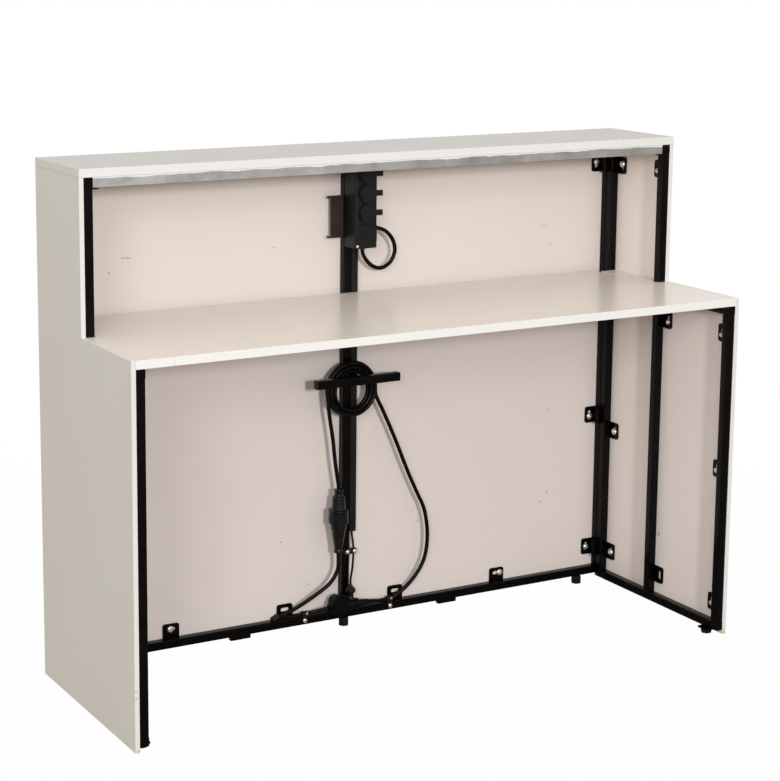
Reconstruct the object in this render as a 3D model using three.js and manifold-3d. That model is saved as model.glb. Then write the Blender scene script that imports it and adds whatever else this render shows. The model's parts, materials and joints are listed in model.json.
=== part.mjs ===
// Folding portable bar: laminate panels on a folding square-tube frame. Millimetres, +Z up.
// +X is the operator's right, +Y the customer side. The origin is on the floor under the middle.
import * as THREE from "three";
import { mergeVertices } from "three/addons/utils/BufferGeometryUtils.js";
import Module from "manifold-3d";

// Overall sizes
const width = 1500;
const depth = 498;
const height = 1145;
const tierRise = 345;
const tierDepth = 245;

// Stock sizes
const board = 18;
const panel = 10;
const tube = 20;
const wall = 1.5;
const corner = 2.5;
const gap = 0.3;

// Feet and floor clearances
const sidePanelLift = 3;
const frontPanelLift = 18;
const frontRailLift = 20;
const sideRailLift = 13;
const footRadius = 13;
const footChamfer = 1.5;
const footInset = 53.7;
const footOut = 3;
const footSetback = 35;
const footPlate = 4;
const plateReach = 10.7;
const catchLength = 50;

// Hinges between the double corner posts
const hingeInset = 7;
const hingeRadius = 6;
const hingePin = 3;
const hingeBore = 3.1;
const hingeHalf = 20;
const hingeLeaf = 3;

// Fixing tabs that hold the panels on the tubes
const tabLength = 41;
const tabReach = 32;
const tabThick = 3;
const tabRound = 6;
const slotLength = 22;
const slotWidth = 9;

// Heights of the tabs; the uppermost of each tube is measured down from the top of its frame
const frontTabs = [88, 430];
const frontTabDrop = 64.7;
const postTabs = [84, 396];
const postTabDrop = 66.7;
const uprightTab = 79;
const uprightTabDrop = 60.7;
const workTabDrop = 71.7;
const legTabs = [72, 393];
const legTabDrop = 67.7;

// Tabs on the front bottom rail, measured from its ends and from the centre post
const railEndTabs = [268.7, 288.7];
const railPostTabs = [153, 146];

// Worktop: the rear part narrows so that it passes the uprights as the sides fold
const endTaper = 0.2018;
const endClear = 1.3;
const filletGap = 1.2;
const filletReach = 45;

// Angle under the shelf's near edge
const angleClear = 7.7;
const angleLeg = 21;
const angleThick = 2;

// Centre post, trunking and hook
const postX = -7;
const trunkWidth = 16.4;
const trunkDepth = 16;
const trunkFoot = 229;
const trunkDrop = 64;
const hookHeight = 603;
const hookLength = 217;
const hookReach = 58.7;

// Outlet
const outletLeft = -18;
const outletRight = 38;
const outletReach = 53.7;
const outletHeight = 195;
const outletDrop = 22.7;
const outletRound = 4;
const coverHeight = 39;
const coverLift = 14;
const glandHeight = 7;
const wellRadius = 18.5;
const wellDepth = 16;
const capRadius = 21.5;
const capThick = 7;
const capX = 11.5;
const capDrop = 25;
const capPitch = 44.5;
const capHingeX = 46.5;
const capHingeOut = 3.8;
const bracketHeight = 97;
const bracketDrop = 78;

// Cords: the coil hangs on the hook's stem and lies in two layers
const cordRadius = 4.7;
const leadRadius = 2.6;
const coilOuter = 66;
const coilPitch = 9.9;
const coilSpread = 10.1;
const coilReach = 25.2;
const coilSag = 27.8;
const coilStart = 190;
const coilTurns = 4 + coilStart / 360;
const coilSteps = 24;

// Plug parked in the connector, hanging beside the centre post
const plugX = -40;
const plugReach = 22.7;
const plugTop = 343;
const plugFoot = 290.3;
const connectorFoot = 190;
const fluteCount = 14;

// Splitter in front of the bottom rail, with a round cap above its barrel
const splitterX = -38;
const barrelRadius = 12;
const barrelLift = 14.7;
const barrelEnds = [-57, 12];
const neckLength = 36;
const drumRadius = 16;
const lidRadius = 23.5;
const lidThick = 9;
const lidLift = 12;
const smallPlugX = -1;
const smallPlugLength = 36.7;

// Clips on the rail and the post
const clipWidth = 12;
const clipThick = 2.7;
const clipPlaces = [-117, 114];
const postClipHeights = [178, 190];

const wasm = await Module();
wasm.setup();

const front = depth / 2;
const near = -depth / 2;
const tier = front - tierDepth;
const panelIn = width / 2 - panel;
const sideOut = panelIn - gap;
const sideIn = sideOut - tube;
const sideMid = sideOut - tube / 2;
const frontIn = front - panel;
const frameFar = frontIn - gap;
const frameNear = frameFar - tube;
const frameMid = frameFar - tube / 2;
const hingeX = sideIn - hingeInset;
const hingeY = frameNear - gap;
const sideFar = hingeY - gap;
const shelfFoot = height - board;
const workHeight = height - tierRise;
const workFoot = workHeight - board;
const topOut = shelfFoot - gap;
const workOut = workFoot - gap;
const railTop = frontRailLift + tube + gap;
const footY = near + footSetback;
const catchX = hingeX - (hingeY - footY);
const hookFace = frameNear - hookReach;
const outletFace = frameNear - outletReach;
const outletTop = topOut - outletDrop;
const outletFoot = outletTop - outletHeight;
const capHeights = [0, 1, 2].map((row) => outletTop - capDrop - row * capPitch);
const capHingeY = outletFace - capHingeOut;
const coilX = postX;
const coilZ = hookHeight - coilSag;
const coilLayers = [frameNear - coilReach, frameNear - coilReach + coilSpread];
const plugY = frameNear - plugReach;
const splitterY = frameNear - gap - barrelRadius;
const splitterZ = railTop + barrelLift;
const frontTabHeights = [...frontTabs, topOut - frontTabDrop];
const postTabHeights = [...postTabs, topOut - postTabDrop];
const legTabHeights = [...legTabs, workOut - legTabDrop];

const looks = {
  laminate: { color: 0xded5c8, roughness: 0.35, metalness: 0 },
  frame: { color: 0x141210, roughness: 0.5, metalness: 0.4 },
  aluminium: { color: 0xb4b4b2, roughness: 0.4, metalness: 1 },
  plastic: { color: 0x1b1a19, roughness: 0.55, metalness: 0 },
  bracket: { color: 0x2a211d, roughness: 0.5, metalness: 0.3 },
  rubber: { color: 0x161514, roughness: 0.75, metalness: 0 },
};
const bar = new THREE.Group();

// Closed geometry to a solid, for cuts and joins
function solid(geometry) {
  const plain = geometry.clone();
  plain.deleteAttribute("normal");
  plain.deleteAttribute("uv");
  const merged = mergeVertices(plain, 1e-4);
  const mesh = new wasm.Mesh({
    numProp: 3,
    vertProperties: merged.attributes.position.array,
    triVerts: new Uint32Array(merged.index.array),
  });
  return new wasm.Manifold(mesh);
}

function surface(made) {
  const mesh = made.getMesh();
  const geometry = new THREE.BufferGeometry();
  geometry.setAttribute("position", new THREE.BufferAttribute(new Float32Array(mesh.vertProperties), 3));
  geometry.setIndex(new THREE.BufferAttribute(new Uint32Array(mesh.triVerts), 1));
  const flat = geometry.toNonIndexed();
  flat.computeVertexNormals();
  return flat;
}

function join(...pieces) {
  return pieces.reduce((whole, piece) => whole.add(piece));
}

function put(name, look, made) {
  const geometry = made.isBufferGeometry ? made : surface(made);
  const mesh = new THREE.Mesh(geometry, new THREE.MeshStandardMaterial(looks[look]));
  mesh.name = name;
  bar.add(mesh);
}

function box(x, y, z) {
  const geometry = new THREE.BoxGeometry(x[1] - x[0], y[1] - y[0], z[1] - z[0]);
  geometry.translate((x[0] + x[1]) / 2, (y[0] + y[1]) / 2, (z[0] + z[1]) / 2);
  return solid(geometry);
}

// Turns a geometry drawn along +Z to run along another axis
function alongAxis(geometry, axis) {
  if (axis === "x") geometry.rotateY(Math.PI / 2);
  if (axis === "y") geometry.rotateX(-Math.PI / 2);
  return geometry;
}

function place(geometry, axis, start, u, v) {
  alongAxis(geometry, axis);
  if (axis === "x") geometry.translate(start, u, v);
  if (axis === "y") geometry.translate(u, start, v);
  if (axis === "z") geometry.translate(u, v, start);
  return geometry;
}

function rounded(shape, half, radius) {
  const inner = half - radius;
  shape.moveTo(half, -inner);
  shape.lineTo(half, inner);
  shape.absarc(inner, inner, radius, 0, Math.PI / 2);
  shape.lineTo(-inner, half);
  shape.absarc(-inner, inner, radius, Math.PI / 2, Math.PI);
  shape.lineTo(-half, -inner);
  shape.absarc(-inner, -inner, radius, Math.PI, 1.5 * Math.PI);
  shape.lineTo(inner, -half);
  shape.absarc(inner, -inner, radius, 1.5 * Math.PI, 2 * Math.PI);
  return shape;
}

// Square tube from one end to the other; closed lists the ends that carry a plastic plug
function squareTube(axis, from, to, u, v, closed = []) {
  const shape = rounded(new THREE.Shape(), tube / 2, corner);
  shape.holes.push(rounded(new THREE.Path(), tube / 2 - wall, corner - wall));
  const length = to - from;
  const drawn = new THREE.ExtrudeGeometry(shape, { depth: length, bevelEnabled: false, curveSegments: 1 });
  let made = solid(place(drawn, axis, from, u, v));
  for (const end of closed) {
    const half = tube / 2 - wall / 2;
    const plug = new THREE.BoxGeometry(2 * half, 2 * half, 3);
    plug.translate(0, 0, 1.5);
    const start = end === "from" ? from : to - 3;
    made = made.add(solid(place(plug, axis, start, u, v)));
  }
  return made;
}

function rod(axis, from, to, u, v, radius, sides = 24) {
  const drawn = new THREE.CylinderGeometry(radius, radius, to - from, sides);
  drawn.rotateX(Math.PI / 2);
  drawn.translate(0, 0, (to - from) / 2);
  return solid(place(drawn, axis, from, u, v));
}

// Round profile of [radius, height] pairs, turned about a vertical line
function turned(points, x, y, sides = 24, start = 0) {
  const drawn = new THREE.LatheGeometry(points.map(([r, z]) => new THREE.Vector2(r, z)), sides, start);
  drawn.rotateX(Math.PI / 2);
  drawn.translate(x, y, 0);
  return solid(drawn);
}

// Block with rounded upright edges, for moulded housings
function moulded(x, y, z, radius) {
  const shape = new THREE.Shape();
  shape.moveTo(x[1], y[0] + radius);
  shape.lineTo(x[1], y[1] - radius);
  shape.absarc(x[1] - radius, y[1] - radius, radius, 0, Math.PI / 2);
  shape.lineTo(x[0] + radius, y[1]);
  shape.absarc(x[0] + radius, y[1] - radius, radius, Math.PI / 2, Math.PI);
  shape.lineTo(x[0], y[0] + radius);
  shape.absarc(x[0] + radius, y[0] + radius, radius, Math.PI, 1.5 * Math.PI);
  shape.lineTo(x[1] - radius, y[0]);
  shape.absarc(x[1] - radius, y[0] + radius, radius, 1.5 * Math.PI, 2 * Math.PI);
  const options = { depth: z[1] - z[0], bevelEnabled: false, curveSegments: 3 };
  const drawn = new THREE.ExtrudeGeometry(shape, options);
  drawn.translate(0, 0, z[0]);
  return solid(drawn);
}

function plan(points, z0, z1) {
  const shape = new THREE.Shape(points.map(([x, y]) => new THREE.Vector2(x, y)));
  const drawn = new THREE.ExtrudeGeometry(shape, { depth: z1 - z0, bevelEnabled: false });
  drawn.translate(0, 0, z0);
  return solid(drawn);
}

// Fixing tab in its own plane: along is the tube's direction, reach points away from the tube
function tab() {
  const half = tabLength / 2;
  const shape = new THREE.Shape();
  shape.moveTo(-half, -2);
  shape.lineTo(half, -2);
  shape.lineTo(half, tabReach - tabRound);
  shape.absarc(half - tabRound, tabReach - tabRound, tabRound, 0, Math.PI / 2);
  shape.lineTo(-half + tabRound, tabReach);
  shape.absarc(-half + tabRound, tabReach - tabRound, tabRound, Math.PI / 2, Math.PI);
  const slot = new THREE.Path();
  const run = (slotLength - slotWidth) / 2;
  const middle = tabReach * 0.6;
  slot.absarc(run, middle, slotWidth / 2, -Math.PI / 2, Math.PI / 2);
  slot.absarc(-run, middle, slotWidth / 2, Math.PI / 2, 1.5 * Math.PI);
  shape.holes.push(slot);
  const options = { depth: tabThick, bevelEnabled: false, curveSegments: 2 };
  return new THREE.ExtrudeGeometry(shape, options);
}

// Tab standing on a rail along X, flat against the front panel
function railTab(x, z) {
  const drawn = tab();
  drawn.rotateX(Math.PI / 2);
  drawn.translate(x, frameFar, z);
  return solid(drawn);
}

// Tab on a front post: it reaches from x towards the middle, flat against the front panel
function frontTab(side, z) {
  const drawn = tab();
  drawn.rotateZ(Math.PI / 2);
  drawn.rotateX(Math.PI / 2);
  if (side > 0) drawn.translate(sideIn, frameFar, z);
  if (side < 0) {
    drawn.rotateZ(Math.PI);
    drawn.translate(-sideIn, frameFar - tabThick, z);
  }
  return solid(drawn);
}

// Tab on a side tube: reach is +1 towards the customer or -1 towards the operator
function sideTab(side, reach, y, z) {
  const drawn = tab();
  drawn.rotateY(Math.PI / 2);
  if (reach < 0) drawn.rotateX(Math.PI);
  drawn.translate(side > 0 ? sideOut - tabThick : -sideOut, y, z);
  return solid(drawn);
}

// Panels
put("front_panel", "laminate", box([-sideOut, sideOut], [frontIn, front], [frontPanelLift, topOut]));

function sidePanel(side) {
  const x = side > 0 ? [panelIn, width / 2] : [-width / 2, -panelIn];
  const low = box(x, [near, front], [sidePanelLift, workOut]);
  const high = box(x, [tier + gap, front], [workOut - 1, topOut]);
  return low.add(high);
}

// Front frame
let bottomRail = squareTube("x", -sideIn + gap, sideIn - gap, frameMid, frontRailLift + tube / 2);
const railTabs = [
  railEndTabs[0] - sideIn,
  postX - railPostTabs[0],
  postX + railPostTabs[1],
  sideIn - railEndTabs[1],
];
for (const x of railTabs) bottomRail = bottomRail.add(railTab(x, frontRailLift + tube));
for (const x of [-catchX, catchX]) {
  const along = [x - catchLength / 2, x + catchLength / 2];
  const across = [frameMid - 5, frameMid + 7];
  bottomRail = bottomRail.add(box(along, across, [frontRailLift / 2, frontRailLift + 1]));
}
put("front_bottom_rail", "frame", bottomRail);
put("front_top_rail", "frame", squareTube("x", -sideIn + gap, sideIn - gap, frameMid, topOut - tube / 2));

// Lower half of a lift-off hinge with its fixed pin
function hingeLower(side, z) {
  const x = side * hingeX;
  const barrel = rod("z", z, z + hingeHalf, x, hingeY, hingeRadius, 16);
  const pin = rod("z", z + hingeHalf - 1, z + 2 * hingeHalf - 4, x, hingeY, hingePin, 16);
  const leafX = side > 0 ? [hingeX, sideIn + 0.5] : [-sideIn - 0.5, -hingeX];
  const leaf = box(leafX, [frameNear + 0.4, frameNear + 5], [z, z + hingeHalf]);
  const wingX = side > 0 ? [sideIn - hingeLeaf, sideIn + 0.5] : [-sideIn - 0.5, -sideIn + hingeLeaf];
  const wing = box(wingX, [frameNear + hingeRadius + 1.5, frameFar], [z, z + 2 * hingeHalf]);
  const bridge = box(wingX, [frameNear + 1, frameMid], [z, z + hingeHalf]);
  return join(barrel, pin, leaf, wing, bridge);
}

// Upper half, which drops over the pin
function hingeUpper(side, z) {
  const x = side * hingeX;
  const foot = z + hingeHalf + gap;
  const top = z + 2 * hingeHalf;
  const barrel = rod("z", foot, top, x, hingeY, hingeRadius, 16);
  const leafX = side > 0 ? [hingeX, sideIn + 0.5] : [-sideIn - 0.5, -hingeX];
  const leaf = box(leafX, [sideFar - 5, sideFar - 0.4], [foot, top]);
  return join(barrel, leaf).subtract(rod("z", foot - 1, top - 3, x, hingeY, hingeBore, 16));
}

function frontPost(side) {
  let made = squareTube("z", frontRailLift, topOut, side * sideMid, frameMid, ["from"]);
  for (const z of frontTabHeights) made = join(made, frontTab(side, z), hingeLower(side, z - hingeHalf));
  return made;
}
put("front_post_left", "frame", frontPost(-1));
put("front_post_right", "frame", frontPost(1));
put("centre_post", "frame", squareTube("z", railTop, topOut - tube - gap, postX, frameMid));

// Side frames
for (const [side, name] of [[-1, "left"], [1, "right"]]) {
  const x = side * sideMid;
  const foot = sideRailLift + tube + gap;
  const railZ = sideRailLift + tube / 2;
  const workRailZ = workOut - tube / 2;
  const topRailZ = topOut - tube / 2;
  const upright = tier + gap + tube / 2;
  const leg = near + gap + tube / 2;
  const post = sideFar - tube / 2;
  const belowTop = topOut - tube - gap;
  const belowWork = workOut - tube - gap;

  put(`${name}_panel`, "laminate", sidePanel(side));

  let postTube = squareTube("z", foot, belowTop, x, post);
  for (const z of postTabHeights) postTube = postTube.add(sideTab(side, -1, post - tube / 2, z));
  for (const z of frontTabHeights) postTube = postTube.add(hingeUpper(side, z - hingeHalf));
  put(`${name}_post`, "frame", postTube);

  let uprightTube = squareTube("z", foot, belowTop, x, upright);
  uprightTube = uprightTube.add(sideTab(side, 1, upright + tube / 2, topOut - uprightTabDrop));
  for (const z of [uprightTab, workOut - workTabDrop]) {
    uprightTube = uprightTube.add(sideTab(side, -1, upright - tube / 2, z));
  }
  const restX = side > 0 ? [sideIn - 11, sideIn + 0.5] : [-sideIn - 0.5, -sideIn + 11];
  const restY = [upright - tube / 2, upright + tube / 2 - 4];
  const restTop = shelfFoot - angleLeg - 2 * gap;
  uprightTube = uprightTube.add(box(restX, restY, [restTop - 3, restTop]));
  put(`${name}_upright`, "frame", uprightTube);

  let legTube = squareTube("z", foot, belowWork, x, leg);
  for (const z of legTabHeights) legTube = legTube.add(sideTab(side, 1, leg + tube / 2, z));
  put(`${name}_leg`, "frame", legTube);

  let lowRail = squareTube("y", near + gap, sideFar, x, railZ, ["from"]);
  const plateX = side > 0 ? [sideIn - plateReach, sideOut] : [-sideOut, plateReach - sideIn];
  const plateZ = [sideRailLift + 0.5 - footPlate, sideRailLift + 0.5];
  lowRail = lowRail.add(box(plateX, [footY - 16, footY + 16], plateZ));
  put(`${name}_bottom_rail`, "frame", lowRail);

  put(`${name}_worktop_rail`, "frame", squareTube("y", near + gap, tier, x, workRailZ, ["from"]));
  const rearStart = upright + tube / 2 + gap;
  const rearEnd = post - tube / 2 - gap;
  put(`${name}_rear_rail`, "frame", squareTube("y", rearStart, rearEnd, x, workRailZ));
  put(`${name}_top_rail`, "frame", squareTube("y", tier + gap, sideFar, x, topRailZ, ["from"]));

  // Fillet that closes the corner beside the worktop's narrowing end
  const endAt = (y) => sideIn - endClear - endTaper * (y - tier) + filletGap;
  const inner = sideOut - filletReach;
  const bend = tier + (sideIn - endClear + filletGap - inner) / endTaper;
  const outline = [
    [side * endAt(rearStart), rearStart],
    [side * sideOut, rearStart],
    [side * sideOut, rearEnd],
    [side * inner, rearEnd],
    [side * inner, bend],
  ];
  if (side < 0) outline.reverse();
  put(`${name}_fillet`, "laminate", plan(outline, workFoot, workHeight));
}

// Worktop: full width in front of the uprights, narrowing behind them
const workRear = frameNear - 0.5;
const endFront = sideIn - endClear;
const endRear = endFront - endTaper * (workRear - tier);
const workOutline = [
  [-width / 2, near],
  [width / 2, near],
  [width / 2, tier - gap],
  [endFront, tier - gap],
  [endRear, workRear],
  [-endRear, workRear],
  [-endFront, tier - gap],
  [-width / 2, tier - gap],
];
put("worktop", "laminate", plan(workOutline, workFoot, workHeight));

// Shelf on the panels, with an aluminium angle under its near edge
put("shelf", "laminate", box([-width / 2, width / 2], [tier, front], [shelfFoot, height]));
const angleX = [angleClear - sideIn, sideIn - angleClear];
const angleTop = shelfFoot - gap;
const uprightLeg = box(angleX, [tier + 2, tier + 2 + angleThick], [angleTop - angleLeg, angleTop]);
const flatLeg = box(angleX, [tier + 3, tier + 2 + angleLeg], [angleTop - angleThick, angleTop]);
put("shelf_angle", "aluminium", uprightLeg.add(flatLeg));

// Levelling feet: hexagonal heads, each on a stem up into its plate or rail
function foot(x, y, top) {
  const face = footRadius - footChamfer;
  const lower = [[0, 0], [face, 0], [footRadius, footChamfer]];
  const upper = [[footRadius, top - footChamfer], [face, top], [0, top]];
  return turned([...lower, ...upper], x, y, 6, Math.PI / 6);
}
const frontFootTop = frontRailLift - gap;
const frontFootY = frameMid - footOut;
const nearFootTop = sideRailLift + 0.5 - footPlate - gap;
put("foot_front_left", "plastic", foot(footInset - sideIn, frontFootY, frontFootTop));
put("foot_front_centre", "plastic", foot(postX - 1, frontFootY, frontFootTop));
put("foot_front_right", "plastic", foot(sideIn - footInset, frontFootY, frontFootTop));
put("foot_near_left", "plastic", foot(-sideIn - 1.3, footY, nearFootTop));
put("foot_near_right", "plastic", foot(sideIn + 1.3, footY, nearFootTop));

// Trunking beside the centre post
const trunkX = [postX + tube / 2 + gap, postX + tube / 2 + gap + trunkWidth];
const trunkZ = [trunkFoot, outletTop - trunkDrop];
put("cable_trunking", "plastic", box(trunkX, [frameNear, frameNear + trunkDepth], trunkZ));

// Cable hook: a square bar across a stem off the post
const hookEnds = [postX - hookLength / 2, postX + hookLength / 2];
const hookBar = squareTube("x", hookEnds[0], hookEnds[1], hookFace + tube / 2, hookHeight, ["from", "to"]);
const hookStem = squareTube("y", hookFace + tube - 1, frameNear - gap, postX, hookHeight);
const hookWayZ = [hookHeight - 5, hookHeight + 5];
const hookWay = box([postX - 5, postX + 5], [hookFace + tube / 2, frameNear], hookWayZ);
put("cable_hook", "frame", hookBar.add(hookStem).subtract(hookWay));

// Outlet housing with a terminal cover at its foot, a gland under it and ears for the caps' hinges
const outletX = [outletLeft, outletRight];
const housing = moulded(outletX, [outletFace, frameNear - gap], [outletFoot, outletTop], outletRound);
const coverZ = [outletFoot + coverLift, outletFoot + coverLift + coverHeight];
const coverX = [outletLeft + 4, outletRight - 2];
const cover = moulded(coverX, [outletFace - 4, outletFace + 8], coverZ, outletRound / 2);
const tailX = outletRight - 15;
const tailY = frameNear - 12.7;
const gland = rod("z", outletFoot - glandHeight, outletFoot + 1, tailX, tailY, 8.5, 6);
let outlet = join(housing, cover, gland);
for (const z of capHeights) {
  const ear = box([outletRight - 1, capHingeX + 5.8], [outletFace + gap, outletFace + 6], [z - 6, z + 6]);
  const well = rod("y", outletFace - 1, outletFace + wellDepth, capX, z, wellRadius, 28);
  outlet = outlet.add(ear).subtract(well);
}
put("outlet_housing", "plastic", outlet);

// Bracket behind the housing: a plate with a thin hooked lug at its top and foot
const bracketTop = outletTop - bracketDrop;
const bracketFoot = bracketTop - bracketHeight;
const bracketY = [frameNear + 4, frameNear + 8];
let bracket = box([postX - 43, postX - tube / 2 - gap], bracketY, [bracketFoot, bracketTop]);
for (const [z, turn] of [[bracketTop - 3.5, -1], [bracketFoot, 1]]) {
  const lug = box([postX - 51, postX - 33], bracketY, [z, z + 3.5]);
  const lip = box([postX - 51, postX - 48.5], bracketY, [z + turn * 3, z + 3.5 + turn * 3]);
  bracket = join(bracket, lug, lip);
}
put("outlet_bracket", "bracket", bracket);

// Round sprung caps, each on a lug hinge at its right
capHeights.forEach((z, index) => {
  const back = outletFace - gap;
  const disc = rod("y", back - capThick, back, capX, z, capRadius, 32);
  const rim = rod("y", back - capThick - 1.5, back - capThick + 1, capX, z, capRadius - 3.5, 32);
  const arm = box([capX + capRadius - 4, capHingeX], [capHingeY - 3, capHingeY + 3], [z - 6, z + 6]);
  const knuckle = rod("z", z - 6, z + 6, capHingeX, capHingeY, 3.4, 16);
  put(`socket_cap_${index + 1}`, "plastic", join(disc, rim, arm, knuckle));
});

// Splitter: barrel with a tapered neck, and a drum that carries the round lid
const lidZ = splitterZ + lidLift;
const lidBack = splitterY - barrelRadius - 2 * gap;
const drum = rod("y", lidBack + gap, frameNear - gap, splitterX, lidZ, drumRadius, 24);
const barrel = rod("x", barrelEnds[0], barrelEnds[1], splitterY, splitterZ, barrelRadius, 20);
const collar = rod("x", barrelEnds[1] - 2, barrelEnds[1] + 6, splitterY, splitterZ, barrelRadius + 1.5, 20)
  .trimByPlane([0, -1, 0], gap - frameNear);
const neck = new THREE.CylinderGeometry(cordRadius + 1.8, barrelRadius - 2, neckLength, 20);
neck.rotateZ(-Math.PI / 2);
neck.translate(barrelEnds[1] - 1 + neckLength / 2, splitterY, splitterZ);
put("splitter_block", "rubber", join(drum, barrel, collar, solid(neck)));
const lidRim = rod("y", lidBack - lidThick + 2, lidBack, splitterX, lidZ, lidRadius, 32);
const lidFace = rod("y", lidBack - lidThick, lidBack - 1, splitterX, lidZ, lidRadius - 3, 32);
put("splitter_cap", "rubber", lidRim.add(lidFace));
const smallFoot = splitterZ + barrelRadius + gap;
const smallTop = smallFoot + smallPlugLength;
const smallBody = [[0, 0], [9, 0], [9, 6], [7.5, 8], [7.5, 16], [12, 19], [12, 27], [7, 31]];
const smallEnd = [[4.6, smallPlugLength], [0, smallPlugLength]];
const smallPlug = [...smallBody, ...smallEnd].map(([r, z]) => [r, smallFoot + z]);
put("small_plug", "rubber", turned(smallPlug, smallPlugX, splitterY, 20));

// Plug parked in the connector: a flared collar, a grip, and a wide fluted socket that tapers to its lead
const plugGrip = [[0, 0], [20, 0], [24, 1.2], [24, 4.7], [16.5, 6.2], [15.5, 20], [15, 35]];
const plugCollar = [[10.5, 39], [9.5, 46], [11.5, 50]];
const plugBody = [...plugGrip, ...plugCollar].map(([r, z]) => [r, plugFoot + z]);
put("supply_plug", "rubber", turned([...plugBody, [11.5, plugTop], [0, plugTop]], plugX, plugY));
const socketTop = plugFoot - gap;
const boss = [[0, 0], [8, 0], [10.5, 1.5], [10.5, 7], [9.5, 9]];
const taper = [[17, 57], [18.5, 59], [18.5, 70], [23.5, 73]];
const connectorTaper = [...boss, ...taper].map(([r, z]) => [r, connectorFoot + z]);
const connectorEnd = [[23.5, socketTop - 3], [21, socketTop], [0, socketTop]];
let connector = turned([...connectorTaper, ...connectorEnd], plugX, plugY, 28);
for (let i = 0; i < fluteCount; i += 1) {
  const turn = (2 * Math.PI * (i + 0.5)) / fluteCount;
  const x = plugX + 24.2 * Math.cos(turn);
  const y = plugY + 24.2 * Math.sin(turn);
  connector = connector.subtract(rod("z", connectorFoot + 76, socketTop - 5, x, y, 2, 6));
}
put("supply_connector", "rubber", connector);

// Round cord along a smooth route
function cord(points, radius, steps, sides = 8) {
  const knots = points.map(([x, y, z]) => new THREE.Vector3(x, y, z));
  const route = new THREE.CatmullRomCurve3(knots, false, "centripetal");
  return tubeAlong(route, radius, steps, sides);
}

function tubeAlong(route, radius, steps, sides) {
  const ring = [];
  for (let i = 0; i < sides; i += 1) {
    const turn = (2 * Math.PI * i) / sides;
    ring.push(new THREE.Vector2(radius * Math.cos(turn), radius * Math.sin(turn)));
  }
  const options = { steps, extrudePath: route, bevelEnabled: false };
  return new THREE.ExtrudeGeometry(new THREE.Shape(ring), options);
}

// Coil: it spirals in on the front layer, steps back in half a turn and spirals out on the rear layer
class CoilCurve extends THREE.Curve {
  getPoint(t, target = new THREE.Vector3()) {
    const turn = coilTurns * t;
    const half = coilTurns / 2;
    const climb = Math.min(Math.max((turn - half + 0.25) / 0.5, 0), 1);
    const smooth = climb * climb * (3 - 2 * climb);
    const radius = coilOuter - coilPitch * (half - Math.abs(turn - half));
    const angle = (coilStart / 180) * Math.PI - 2 * Math.PI * turn;
    const y = coilLayers[0] + (coilLayers[1] - coilLayers[0]) * smooth;
    return target.set(coilX + radius * Math.cos(angle), y, coilZ + radius * Math.sin(angle));
  }
}
const coil = new CoilCurve();
put("cord_coil", "rubber", tubeAlong(coil, cordRadius, Math.round(coilTurns * coilSteps), 6));

// Least gap between turns of the coil, measured on its centre line
const coilSamples = [];
for (let i = 0; i <= 780; i += 1) coilSamples.push(coil.getPoint(i / 780));
let coilGap = Infinity;
for (let i = 0; i < coilSamples.length; i += 1) {
  for (let j = i + 60; j < coilSamples.length; j += 1) {
    coilGap = Math.min(coilGap, coilSamples[i].distanceTo(coilSamples[j]) - 2 * cordRadius);
  }
}
const coilLength = coil.getLength();
console.log(`coil: least gap between turns ${coilGap.toFixed(2)} mm, length ${coilLength.toFixed(0)} mm`);

// Points a little beyond either end of the coil, in line with it
function pastCoil(t, reach) {
  const direction = t === 0 ? coil.getTangent(0).negate() : coil.getTangent(1);
  return coil.getPoint(t).addScaledVector(direction, reach).toArray();
}

// Cord points are given as x, distance in front of the frame, and height
function inFront(points) {
  return points.map(([x, out, z]) => [x, frameNear - out, z]);
}
const cordLeft = [
  pastCoil(0, 2 * gap),
  pastCoil(0, 10),
  ...inFront([[-69.5, 25, 540], [-64.5, 23.1, 511], [-57.2, 22.9, 468], [-50, 22.7, 410], [-43, 22.7, 366]]),
  [plugX - 0.2, plugY, plugTop + 7],
  [plugX, plugY, plugTop + 2 * gap],
];
put("cord_left", "rubber", cord(cordLeft, cordRadius, 14));
const railRun = railTop + cordRadius + gap;
const neckEnd = barrelEnds[1] - 1 + neckLength;
const cordRight = [
  pastCoil(1, 2 * gap),
  pastCoil(1, 9),
  ...inFront([[63.5, 14.5, 551], [78, 14.3, 523], [111, 14.1, 454], [156, 13.7, 351], [181, 13.3, 300]]),
  ...inFront([[199, 12.9, 262], [210, 12.2, 196], [202, 10.7, 136], [175, 6.7, 91], [142, -0.8, 59]]),
  ...inFront([[117, -5.3, railRun + 1], [97, -3.3, railRun + 0.4], [76, 4.7, railRun + 4]]),
  ...inFront([[61, 10.6, splitterZ - 1]]),
  [neckEnd + 6, splitterY, splitterZ],
  [neckEnd + 2 * gap, splitterY, splitterZ],
];
put("cord_right", "rubber", cord(cordRight, cordRadius, 44));
const connectorLead = [
  [plugX, plugY, connectorFoot - 2 * gap],
  [plugX, plugY, connectorFoot - 8],
  ...inFront([[-39.8, 22.7, 168], [-41.5, 22.5, 150], [-58, 21.2, 122], [-98, 14.2, 92], [-135, 1.7, 67]]),
  ...inFront([[-156, -8, railRun + 8], [-166, -11.3, railRun + 3.5], [-176, -11.8, railRun + 2]]),
];
put("connector_lead", "rubber", cord(connectorLead, cordRadius, 20));
const tailTop = outletFoot + 42;
const tailCord = [
  [outletRight + 2 * gap, frameNear - 23.7, tailTop],
  [outletRight + 8, frameNear - 23.7, tailTop],
  ...inFront([[58, 23.1, -2], [80, 20.7, -11], [102, 16.7, -34], [108.5, 14.7, -61], [97, 12.7, -86]])
    .map(([x, y, z]) => [x, y, tailTop + z]),
  ...inFront([[74, 12, -97.5], [49, 12, -90], [31, 12.4, -72]]).map(([x, y, z]) => [x, y, tailTop + z]),
  [tailX + 0.6, tailY, outletFoot - glandHeight - 8],
  [tailX, tailY, outletFoot - glandHeight - 2 * gap],
];
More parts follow.
